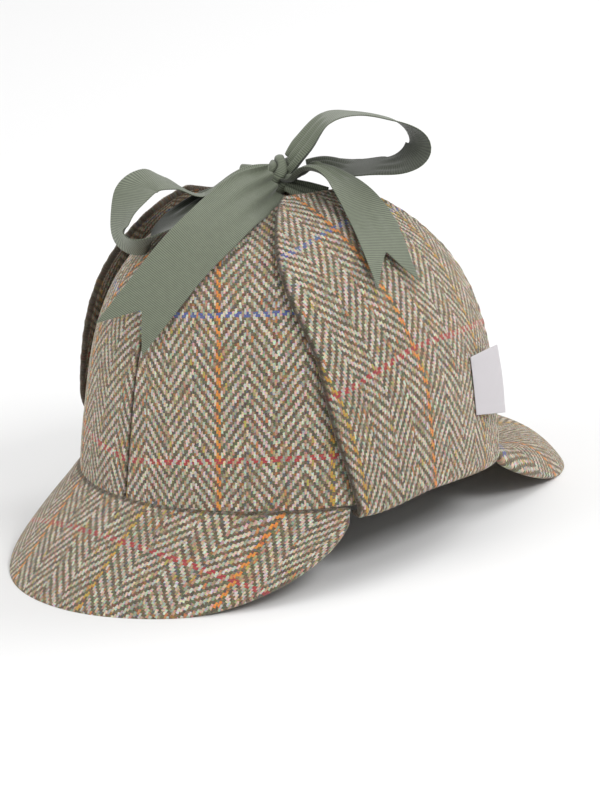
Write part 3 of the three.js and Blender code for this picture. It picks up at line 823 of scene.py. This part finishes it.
# Light kept in the gaps between threads, and in the darker patches of the cloth.
GAP_SHADE = ((0.0, (0.58, 0.56, 0.53, 1.0)), (0.7, (1.0, 1.0, 1.0, 1.0)))
PATCH_SHADE = ((0.3, (0.86, 0.87, 0.88, 1.0)), (0.7, (1.0, 0.99, 0.98, 1.0)))


def tweed_material(name, colours):
    """Woollen tweed, woven as a two and two herringbone and lightly milled: a pale warp of two
    twisted colours over a dark mixed weft, so the eye sees broken diagonal ribs with soft,
    hairy threads, and thin bright check lines.
    """
    material, tree = start_material(name)
    place = add_node(tree, "ShaderNodeUVMap", uv_map="cloth_mm").outputs[0]

    # threads wander a little from straight, and their edges fray
    wander = add_node(tree, "ShaderNodeTexNoise", {"Vector": place, "Scale": 0.16, "Detail": 2.0})
    uneven = add_node(tree, "ShaderNodeVectorMath",
                      {0: wander.outputs["Color"], 1: (0.5, 0.5, 0.5)}, operation="SUBTRACT")
    shifted = add_node(tree, "ShaderNodeVectorMath",
                       {0: uneven.outputs[0], 1: (1.6, 1.6, 0.0), 2: place},
                       operation="MULTIPLY_ADD")
    split = add_node(tree, "ShaderNodeSeparateXYZ", {0: shifted.outputs[0]})
    fray = add_node(tree, "ShaderNodeTexNoise", {"Vector": place, "Scale": 1.5, "Detail": 2.0})
    frayed = add_node(tree, "ShaderNodeSeparateXYZ", {0: fray.outputs["Color"]})
    known = {"across": split.outputs[0], "along": split.outputs[1],
             "fray": frayed.outputs[0], "fray_along": frayed.outputs[1]}
    for result, operation, *values in HERRINGBONE_STEPS:
        inputs = {i: known.get(value, value) for i, value in enumerate(values)}
        known[result] = add_node(tree, "ShaderNodeMath", inputs, operation=operation).outputs[0]

    # each float of yarn draws its own colour
    warp_cell = add_node(tree, "ShaderNodeCombineXYZ",
                         {0: known["end_number"], 1: known["float_number"], 2: 3.0})
    warp_luck = add_node(tree, "ShaderNodeTexWhiteNoise", {"Vector": warp_cell.outputs[0]},
                         noise_dimensions="3D")
    weft_cell = add_node(tree, "ShaderNodeCombineXYZ",
                         {0: known["end_number"], 1: known["pick_number"], 2: 7.0})
    weft_luck = add_node(tree, "ShaderNodeTexWhiteNoise", {"Vector": weft_cell.outputs[0]},
                         noise_dimensions="3D")
    pink = add_node(tree, "ShaderNodeValToRGB", {0: warp_luck.outputs["Value"]},
                    stops=PINK_WARP, stepped=True)
    green = add_node(tree, "ShaderNodeValToRGB", {0: warp_luck.outputs["Value"]},
                     stops=GREEN_WARP, stepped=True)
    warp = add_node(tree, "ShaderNodeMix",
                    {0: known["end_odd"], 6: pink.outputs[0], 7: green.outputs[0]},
                    data_type="RGBA")
    warp_line = add_node(tree, "ShaderNodeMix",
                         {0: known["warp_check_odd"], 6: colours.warp_check,
                          7: colours.second_warp_check}, data_type="RGBA")
    warp = add_node(tree, "ShaderNodeMix",
                    {0: known["on_warp_check"], 6: warp.outputs[2], 7: warp_line.outputs[2]},
                    data_type="RGBA")
    weft = add_node(tree, "ShaderNodeValToRGB", {0: weft_luck.outputs["Value"]},
                    stops=MIXED_WEFT, stepped=True)
    weft_line = add_node(tree, "ShaderNodeMix",
                         {0: known["weft_check_odd"], 6: colours.weft_check,
                          7: colours.second_weft_check}, data_type="RGBA")
    weft = add_node(tree, "ShaderNodeMix",
                    {0: known["on_weft_check"], 6: weft.outputs[0], 7: weft_line.outputs[2]},
                    data_type="RGBA")
    woven = add_node(tree, "ShaderNodeMix",
                     {0: known["warp_up"], 6: weft.outputs[2], 7: warp.outputs[2]},
                     data_type="RGBA")

    # gaps between threads hold shade, and the cloth's tone drifts in soft patches
    height = add_node(tree, "ShaderNodeMix",
                      {0: known["warp_up"], 2: known["weft_raised"], 3: known["warp_raised"]},
                      data_type="FLOAT").outputs[0]
    gaps = add_node(tree, "ShaderNodeValToRGB", {0: height}, stops=GAP_SHADE)
    woven = add_node(tree, "ShaderNodeMix", {0: 1.0, 6: woven.outputs[2], 7: gaps.outputs[0]},
                     data_type="RGBA", blend_type="MULTIPLY")
    melange = add_node(tree, "ShaderNodeTexNoise", {"Vector": place, "Scale": 0.55, "Detail": 3.0})
    patches = add_node(tree, "ShaderNodeValToRGB", {0: melange.outputs["Fac"]}, stops=PATCH_SHADE)
    woven = add_node(tree, "ShaderNodeMix", {0: 1.0, 6: woven.outputs[2], 7: patches.outputs[0]},
                     data_type="RGBA", blend_type="MULTIPLY")

    # milling felts a thin haze of mixed fibres over the threads
    felt = add_node(tree, "ShaderNodeTexNoise", {"Vector": place, "Scale": 2.2, "Detail": 3.0})
    haze = add_node(tree, "ShaderNodeMapRange",
                    {0: felt.outputs["Fac"], 1: 0.4, 2: 0.7, 3: 0.03, 4: 0.34})
    woven = add_node(tree, "ShaderNodeMix",
                     {0: haze.outputs[0], 6: woven.outputs[2], 7: colours.felted_haze},
                     data_type="RGBA")

    # dyed fibres of many colours, blended before spinning, fleck every thread
    blend = add_node(tree, "ShaderNodeTexNoise", {"Vector": place, "Scale": 1.25, "Detail": 3.0})
    fibres = add_node(tree, "ShaderNodeVectorMath",
                      {0: blend.outputs["Color"], 1: (2.0, 1.9, 2.1), 2: (0.0, 0.05, -0.05)},
                      operation="MULTIPLY_ADD")
    woven = add_node(tree, "ShaderNodeMix", {0: 1.0, 6: woven.outputs[2], 7: fibres.outputs[0]},
                     data_type="RGBA", blend_type="MULTIPLY")
    # painted shade: the cloth darkens towards the seam shade colour where the point attribute says,
    # in seams, folds and along the flaps' edges
    painted_shade = add_node(tree, "ShaderNodeAttribute", attribute_name="painted_shade")
    woven = add_node(tree, "ShaderNodeMix",
                     {0: painted_shade.outputs["Fac"], 6: woven.outputs[2], 7: colours.painted_seam_shade},
                     data_type="RGBA")

    hair = add_node(tree, "ShaderNodeTexNoise", {"Vector": place, "Scale": 3.1, "Detail": 3.0})
    relief = add_node(tree, "ShaderNodeMath", {0: hair.outputs["Fac"], 1: 0.35, 2: height},
                      operation="MULTIPLY_ADD")
    bump = add_node(tree, "ShaderNodeBump",
                    {"Strength": 0.9, "Distance": 0.0005, "Height": relief.outputs[0]})
    shader = add_node(tree, "ShaderNodeBsdfPrincipled",
                      {"Base Color": woven.outputs[2], "Normal": bump.outputs[0],
                       "Roughness": 0.95, "Sheen Weight": 0.35, "Sheen Roughness": 0.6,
                       "Specular IOR Level": 0.2, "Sheen Tint": linear("#E8DED0")})
    add_node(tree, "ShaderNodeOutputMaterial", {0: shader.outputs[0]})
    return material


# Spacing of the ribs across the ribbon and of the threads along it.
RIB_PITCH = 0.86
THREAD_PITCH = 0.5
RIB_STEPS = (
    ("rib", "MULTIPLY", "along", 2.0 * math.pi / RIB_PITCH),
    ("wave", "SINE", "rib"),
    ("rib_height", "MULTIPLY_ADD", "wave", 0.5, 0.5),
    ("thread", "MULTIPLY", "across", 2.0 * math.pi / THREAD_PITCH),
    ("thread_wave", "SINE", "thread"),
    ("height", "MULTIPLY_ADD", "thread_wave", 0.12, "rib_height"),
)


def grosgrain_material(name, groove, rib_top):
    """Polyester grosgrain ribbon, woven with a heavy weft: fine even ribs straight across it,
    a dull sheen along each rib, and a firm woven edge."""
    material, tree = start_material(name)
    place = add_node(tree, "ShaderNodeUVMap", uv_map="cloth_mm").outputs[0]
    split = add_node(tree, "ShaderNodeSeparateXYZ", {0: place})
    known = {"across": split.outputs[0], "along": split.outputs[1]}
    for result, operation, *values in RIB_STEPS:
        inputs = {i: known.get(value, value) for i, value in enumerate(values)}
        known[result] = add_node(tree, "ShaderNodeMath", inputs, operation=operation).outputs[0]
    # painted shade: the grooves between the ribs are coloured darker, as shade
    rib = add_node(tree, "ShaderNodeMix", {0: known["rib_height"], 6: groove, 7: rib_top},
                   data_type="RGBA")
    shade = add_node(tree, "ShaderNodeTexNoise", {"Vector": place, "Scale": 0.35, "Detail": 3.0})
    tone = add_node(tree, "ShaderNodeMapRange",
                    {0: shade.outputs["Fac"], 1: 0.3, 2: 0.7, 3: 0.94, 4: 1.05})
    toned = add_node(tree, "ShaderNodeVectorMath",
                     {0: rib.outputs[2], "Scale": tone.outputs[0]}, operation="SCALE")
    # painted shade: darkened towards a near-black green where the point attribute says, in the
    # knot's grooves
    painted_shade = add_node(tree, "ShaderNodeAttribute", attribute_name="painted_shade")
    shaded = add_node(tree, "ShaderNodeMix",
                      {0: painted_shade.outputs["Fac"], 6: toned.outputs[0], 7: linear("#23251E")},
                      data_type="RGBA")
    bump = add_node(tree, "ShaderNodeBump",
                    {"Strength": 0.55, "Distance": 0.0002, "Height": known["height"]})
    shader = add_node(tree, "ShaderNodeBsdfPrincipled",
                      {"Base Color": shaded.outputs[2], "Normal": bump.outputs[0],
                       "Roughness": 0.62, "Sheen Weight": 0.25, "Sheen Roughness": 0.45,
                       "Specular IOR Level": 0.35})
    add_node(tree, "ShaderNodeOutputMaterial", {0: shader.outputs[0]})
    return material


def label_material(name, colours):
    """White polyester label, woven as satin: smooth and bright, with a faint thread grain."""
    material, tree = start_material(name)
    place = add_node(tree, "ShaderNodeUVMap", uv_map="cloth_mm").outputs[0]
    grain = add_node(tree, "ShaderNodeTexWave",
                     {"Vector": place, "Scale": 0.9, "Distortion": 0.4},
                     wave_type="BANDS", bands_direction="X").outputs["Fac"]
    tone = add_node(tree, "ShaderNodeMix",
                    {0: grain, 6: colours.label_groove, 7: colours.label_thread},
                    data_type="RGBA")
    bump = add_node(tree, "ShaderNodeBump",
                    {"Strength": 0.3, "Distance": 0.0001, "Height": grain})
    shader = add_node(tree, "ShaderNodeBsdfPrincipled",
                      {"Base Color": tone.outputs[2], "Normal": bump.outputs[0],
                       "Roughness": 0.5, "Sheen Weight": 0.15})
    add_node(tree, "ShaderNodeOutputMaterial", {0: shader.outputs[0]})
    return material


def lining_material(name, colours):
    """Plain viscose lining, twill woven: dark, smooth and slightly glossy."""
    material, tree = start_material(name)
    place = add_node(tree, "ShaderNodeUVMap", uv_map="cloth_mm").outputs[0]
    grain = add_node(tree, "ShaderNodeTexWave",
                     {"Vector": place, "Scale": 0.6, "Distortion": 0.5},
                     wave_type="BANDS", bands_direction="DIAGONAL").outputs["Fac"]
    tone = add_node(tree, "ShaderNodeMix",
                    {0: grain, 6: colours.lining_groove, 7: colours.lining_thread},
                    data_type="RGBA")
    bump = add_node(tree, "ShaderNodeBump",
                    {"Strength": 0.2, "Distance": 0.0001, "Height": grain})
    shader = add_node(tree, "ShaderNodeBsdfPrincipled",
                      {"Base Color": tone.outputs[2], "Normal": bump.outputs[0],
                       "Roughness": 0.45, "Sheen Weight": 0.1})
    add_node(tree, "ShaderNodeOutputMaterial", {0: shader.outputs[0]})
    return material


def floor_material(name, colours):
    """Matt painted board: even and pale."""
    material, tree = start_material(name)
    shader = add_node(tree, "ShaderNodeBsdfPrincipled",
                      {"Base Color": colours.floor, "Roughness": 0.9})
    add_node(tree, "ShaderNodeOutputMaterial", {0: shader.outputs[0]})
    return material


MATERIALS = {
    "tweed": ("woollen tweed, herringbone woven", tweed_material),
    "grosgrain": ("polyester grosgrain, rib woven", lambda name, colours: grosgrain_material(
        name, colours.ribbon_groove_shade, colours.ribbon_rib)),
    # painted shade: a darker copy of the grosgrain, for the ribbon faces in shade
    "shaded_side": ("polyester grosgrain reverse, rib woven", lambda name, colours: grosgrain_material(
        name, colours.shaded_side_groove, colours.shaded_side_rib)),
    "label": ("white polyester label, satin woven", label_material),
    "lining": ("viscose lining, twill woven", lining_material),
    "floor": ("matt painted board, pale", floor_material),
}


def material_for(key):
    """The material of that key, made the first time it is asked for."""
    name, make = MATERIALS[key]
    return bpy.data.materials.get(name) or make(name, bpy.context.scene.hat_colours)


# ---- the add-on --------------------------------------------------------------------------------


class HatSizes(bpy.types.PropertyGroup):
    """Sizes of the hat's cloth, and how fine its meshes are."""

    crown_wall: FloatProperty(
        name="Crown wall", description="Thickness of the crown's tweed, wadding and lining",
        default=2.5 * MM, min=0.5 * MM, unit="LENGTH", precision=5)
    crown_puff: FloatProperty(
        name="Crown puff", description="How far a quarter swells between its seams",
        default=0.7 * MM, min=0.0, unit="LENGTH", precision=5)
    peak_thickness: FloatProperty(
        name="Peak thickness", description="Thickness of a stiffened peak",
        default=4.0 * MM, min=1.0 * MM, unit="LENGTH", precision=5)
    flap_thickness: FloatProperty(
        name="Flap thickness", description="Thickness of an ear flap without its padding's swell",
        default=3.0 * MM, min=1.0 * MM, unit="LENGTH", precision=5)
    weave_relief: FloatProperty(
        name="Weave relief", description="Height of the herringbone's ribs",
        default=0.16 * MM, min=0.0, unit="LENGTH", precision=5)
    ribbon_thickness: FloatProperty(
        name="Ribbon thickness", description="Thickness of the ribbon between its selvages",
        default=0.5 * MM, min=0.2 * MM, unit="LENGTH", precision=5)
    ribbon_step: FloatProperty(
        name="Ribbon step", description="Length of ribbon between two rows of points",
        default=1.2 * MM, min=0.3 * MM, unit="LENGTH", precision=5)
    crown_columns: IntProperty(
        name="Crown columns", description="Columns of points across a quarter",
        default=150, min=8)
    crown_rows: IntProperty(
        name="Crown rows", description="Rows of points from the rim to the top",
        default=170, min=8)
    peak_columns: IntProperty(
        name="Peak columns", description="Columns of points along a peak", default=230, min=8)
    peak_rows: IntProperty(
        name="Peak rows", description="Rows of points from seam to edge", default=56, min=4)
    flap_columns: IntProperty(
        name="Flap columns", description="Columns of points across a flap", default=125, min=8)
    flap_rows: IntProperty(
        name="Flap rows", description="Rows of points up a flap", default=135, min=8)


def colour_property(name, description, hex_colour):
    """A colour property whose default is an sRGB hex colour."""
    return FloatVectorProperty(name=name, description=description, subtype="COLOR", size=4,
                               default=linear(hex_colour), min=0.0, max=1.0)


class HatColours(bpy.types.PropertyGroup):
    """Colours of the hat's cloths and of the floor."""

    warp_check: colour_property("Warp check", "Yarn of every other line up the cloth", "#E08A33")
    second_warp_check: colour_property(
        "Second warp check", "Yarn of the lines between those", "#C79A3C")
    weft_check: colour_property("Weft check", "Yarn of every other line across it", "#B5323F")
    second_weft_check: colour_property(
        "Second weft check", "Yarn of the lines between those", "#4C63A8")
    felted_haze: colour_property("Felted haze", "Loose fibres over the threads", "#9C8C79")
    # painted shade: the colour the cloth darkens to in seams, folds and along the flaps' edges
    painted_seam_shade: colour_property("Seam shade", "Cloth deep in a seam or fold", "#2E251C")
    ribbon_rib: colour_property("Ribbon ribs", "Tops of the ribbon's ribs", "#7E8571")
    # painted shade: darker than the ribs' tops, standing in for the shade in the grooves
    ribbon_groove_shade: colour_property("Ribbon grooves", "Between the ribbon's ribs", "#51574A")
    # painted shade: darker copies of the ribbon's colours, for its faces towards a loop's middle or
    # the crown
    shaded_side_rib: colour_property("Reverse ribs", "Tops of the ribs on its reverse", "#53584A")
    shaded_side_groove: colour_property("Reverse grooves", "Between those ribs", "#363A30")
    label_thread: colour_property("Label threads", "Raised threads of the label", "#C7C3C6")
    label_groove: colour_property("Label grooves", "Between the label's threads", "#B4B0B3")
    lining_thread: colour_property("Lining threads", "Raised threads of the lining", "#665E4B")
    lining_groove: colour_property("Lining grooves", "Between the lining's threads", "#57503F")
    floor: FloatVectorProperty(
        name="Floor", description="Colour of the floor", subtype="COLOR", size=4,
        default=(0.86, 0.86, 0.86, 1.0), min=0.0, max=1.0)


class StageSettings(bpy.types.PropertyGroup):
    """The lights."""

    key_power: FloatProperty(
        name="Key light", description="Power of the light from the right",
        subtype="POWER", unit="POWER", default=33.0, min=0.0)
    fill_power: FloatProperty(
        name="Fill light", description="Power of the lights in front and behind",
        subtype="POWER", unit="POWER", default=20.0, min=0.0)
    world_strength: FloatProperty(
        name="Surroundings", description="Strength of the even light all round",
        default=0.66, min=0.0)


class HAT_OT_stage(bpy.types.Operator):
    """Lays the floor and sets the lights and the camera"""

    bl_idname = "hat.stage"
    bl_label = "Stage"

    def execute(self, context):
        lay_floor(context.scene)
        set_lights(context.scene, context.scene.hat_stage)
        place_camera(context.scene)
        context.scene.view_settings.view_transform = "Standard"
        return {"FINISHED"}


FLOOR_HALF_SIDE = 8.0


def lay_floor(scene):
    """A level square under the hat."""
    far = FLOOR_HALF_SIDE
    mesh = bpy.data.meshes.new("floor")
    mesh.from_pydata([(-far, -far, 0), (far, -far, 0), (far, far, 0), (-far, far, 0)], [],
                     [(0, 1, 2, 3)])
    mesh.materials.append(material_for("floor"))
    floor = bpy.data.objects.new("floor", mesh)
    scene.collection.objects.link(floor)


LIGHT_AIM = Vector((0.0, 0.0, 0.08))


def set_lights(scene, settings):
    """Even light all round, and three soft square lamps turned towards the hat's middle."""
    world = bpy.data.worlds.new("studio")
    world.use_nodes = True
    background = world.node_tree.nodes["Background"]
    background.inputs["Color"].default_value = (1.0, 1.0, 1.0, 1.0)
    background.inputs["Strength"].default_value = settings.world_strength
    scene.world = world
    for name, place, size, power in (
        ("key", (2.1, -0.2, 2.0), 0.9, settings.key_power),
        ("fill", (-0.7, -2.2, 1.3), 1.6, settings.fill_power),
        ("back", (0.3, 1.7, 1.6), 1.2, settings.fill_power),
    ):
        lamp = bpy.data.lights.new(name, "AREA")
        lamp.size, lamp.energy = size, power
        light = bpy.data.objects.new(name, lamp)
        light.location = place
        light.rotation_mode = "QUATERNION"
        light.rotation_quaternion = (Vector(place) - LIGHT_AIM).to_track_quat("Z", "Y")
        scene.collection.objects.link(light)


CAMERA_AZIMUTH = math.radians(45.0)
CAMERA_ELEVATION = math.radians(15.5)
CAMERA_DISTANCE = 2500.0
CAMERA_AIM = np.array([0.0, 0.0, 60.0])
CAMERA_ASIDE = 5.23
CAMERA_BELOW = 33.2
FRAME_HEIGHT = 364.0
# The frame is taller than it is wide, so the sensor's size counts up it.
SENSOR_SIZE = 36.0


def place_camera(scene):
    """A long lens at the front left, turned with the hat's lean so that the hat keeps its pose."""
    a, e = CAMERA_AZIMUTH, CAMERA_ELEVATION
    back = np.array([math.sin(a) * math.cos(e), -math.cos(a) * math.cos(e), math.sin(e)])
    right = np.array([math.cos(a), math.sin(a), 0.0])
    up = np.cross(back, right)
    aim = CAMERA_AIM + right * CAMERA_ASIDE - up * CAMERA_BELOW
    place = turned(aim + back * CAMERA_DISTANCE) + np.array([0.0, FRONT_SHIFT, RIM_HEIGHT])
    axes = [Vector(turned(v)) for v in (right, up, back)]
    data = bpy.data.cameras.new("camera")
    data.sensor_width = SENSOR_SIZE
    data.lens = SENSOR_SIZE * CAMERA_DISTANCE / FRAME_HEIGHT
    data.clip_start, data.clip_end = 0.05, 50.0
    camera = bpy.data.objects.new("camera", data)
    turn = Matrix(axes).transposed().to_4x4()
    camera.matrix_world = Matrix.Translation(Vector(place * MM)) @ turn
    scene.collection.objects.link(camera)
    scene.camera = camera


class HAT_OT_crown(bpy.types.Operator):
    """Makes the crown's four quarters"""

    bl_idname = "hat.crown"
    bl_label = "Crown"

    def execute(self, context):
        cloths = [material_for("tweed"), material_for("lining")]
        for index, node in enumerate(QUARTERS):
            piece = crown_quarter(index, context.scene.hat_sizes, cloths)
            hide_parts(node)
        return {"FINISHED"}


class HAT_OT_peaks(bpy.types.Operator):
    """Makes the front and rear peaks"""

    bl_idname = "hat.peaks"
    bl_label = "Peaks"

    def execute(self, context):
        for peak in PEAKS:
            piece = peak_body(peak, context.scene.hat_sizes, [material_for("tweed")])
            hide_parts(peak["name"])
        return {"FINISHED"}


class HAT_OT_ear_flaps(bpy.types.Operator):
    """Makes the two padded ear flaps"""

    bl_idname = "hat.ear_flaps"
    bl_label = "Ear flaps"

    def execute(self, context):
        for flap in FLAPS:
            piece = flap_body(flap, context.scene.hat_sizes, [material_for("tweed")])
            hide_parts(flap["name"])
        return {"FINISHED"}


class HAT_OT_label(bpy.types.Operator):
    """Makes the bare woven label"""

    bl_idname = "hat.label"
    bl_label = "Label"

    def execute(self, context):
        piece, flat = label_body(context.scene.hat_sizes, [material_for("label")])
        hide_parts("woven_label")
        return {"FINISHED"}


class HAT_OT_bow(bpy.types.Operator):
    """Makes the knot, the loops and the tails of the bow"""

    bl_idname = "hat.bow"
    bl_label = "Bow"

    def execute(self, context):
        ribbon = [material_for("grosgrain"), material_for("shaded_side")]
        points, faces, maps, painted_shades = knot_body()
        knot = make_object("bow_knot_ribbon", points, faces, maps, ribbon,
                           painted_shades=painted_shades)
        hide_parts("bow_knot")
        for name in RIBBONS:
            piece, length = ribbon_body(name, context.scene.hat_sizes, ribbon)
            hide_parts(name)
        return {"FINISHED"}


OPERATORS = (HAT_OT_stage, HAT_OT_crown, HAT_OT_peaks, HAT_OT_ear_flaps, HAT_OT_label,
             HAT_OT_bow)
SETTINGS = {"hat_sizes": HatSizes, "hat_colours": HatColours, "hat_stage": StageSettings}


class HAT_PT_panel(bpy.types.Panel):
    """Lists the hat's pieces, sizes, colours and lights in the sidebar"""

    bl_idname = "HAT_PT_panel"
    bl_label = "Deerstalker hat"
    bl_space_type = "VIEW_3D"
    bl_region_type = "UI"
    bl_category = "Hat"

    def draw(self, context):
        for operator in OPERATORS:
            self.layout.operator(operator.bl_idname)
        for name, group in SETTINGS.items():
            for setting in group.__annotations__:
                self.layout.prop(getattr(context.scene, name), setting)


CLASSES = tuple(SETTINGS.values()) + OPERATORS + (HAT_PT_panel,)


def register():
    """Registers the classes, and gives the scene its settings."""
    for cls in CLASSES:
        bpy.utils.register_class(cls)
    for name, group in SETTINGS.items():
        setattr(bpy.types.Scene, name, PointerProperty(type=group))


def unregister():
    """Takes back what register gave."""
    for name in SETTINGS:
        delattr(bpy.types.Scene, name)
    for cls in reversed(CLASSES):
        bpy.utils.unregister_class(cls)


def main():
    """Builds the stage and the hat."""
    register()
    bpy.ops.hat.stage()
    bpy.ops.hat.crown()
    bpy.ops.hat.peaks()
    bpy.ops.hat.ear_flaps()
    bpy.ops.hat.label()
    bpy.ops.hat.bow()


if __name__ == "__main__":
    main()
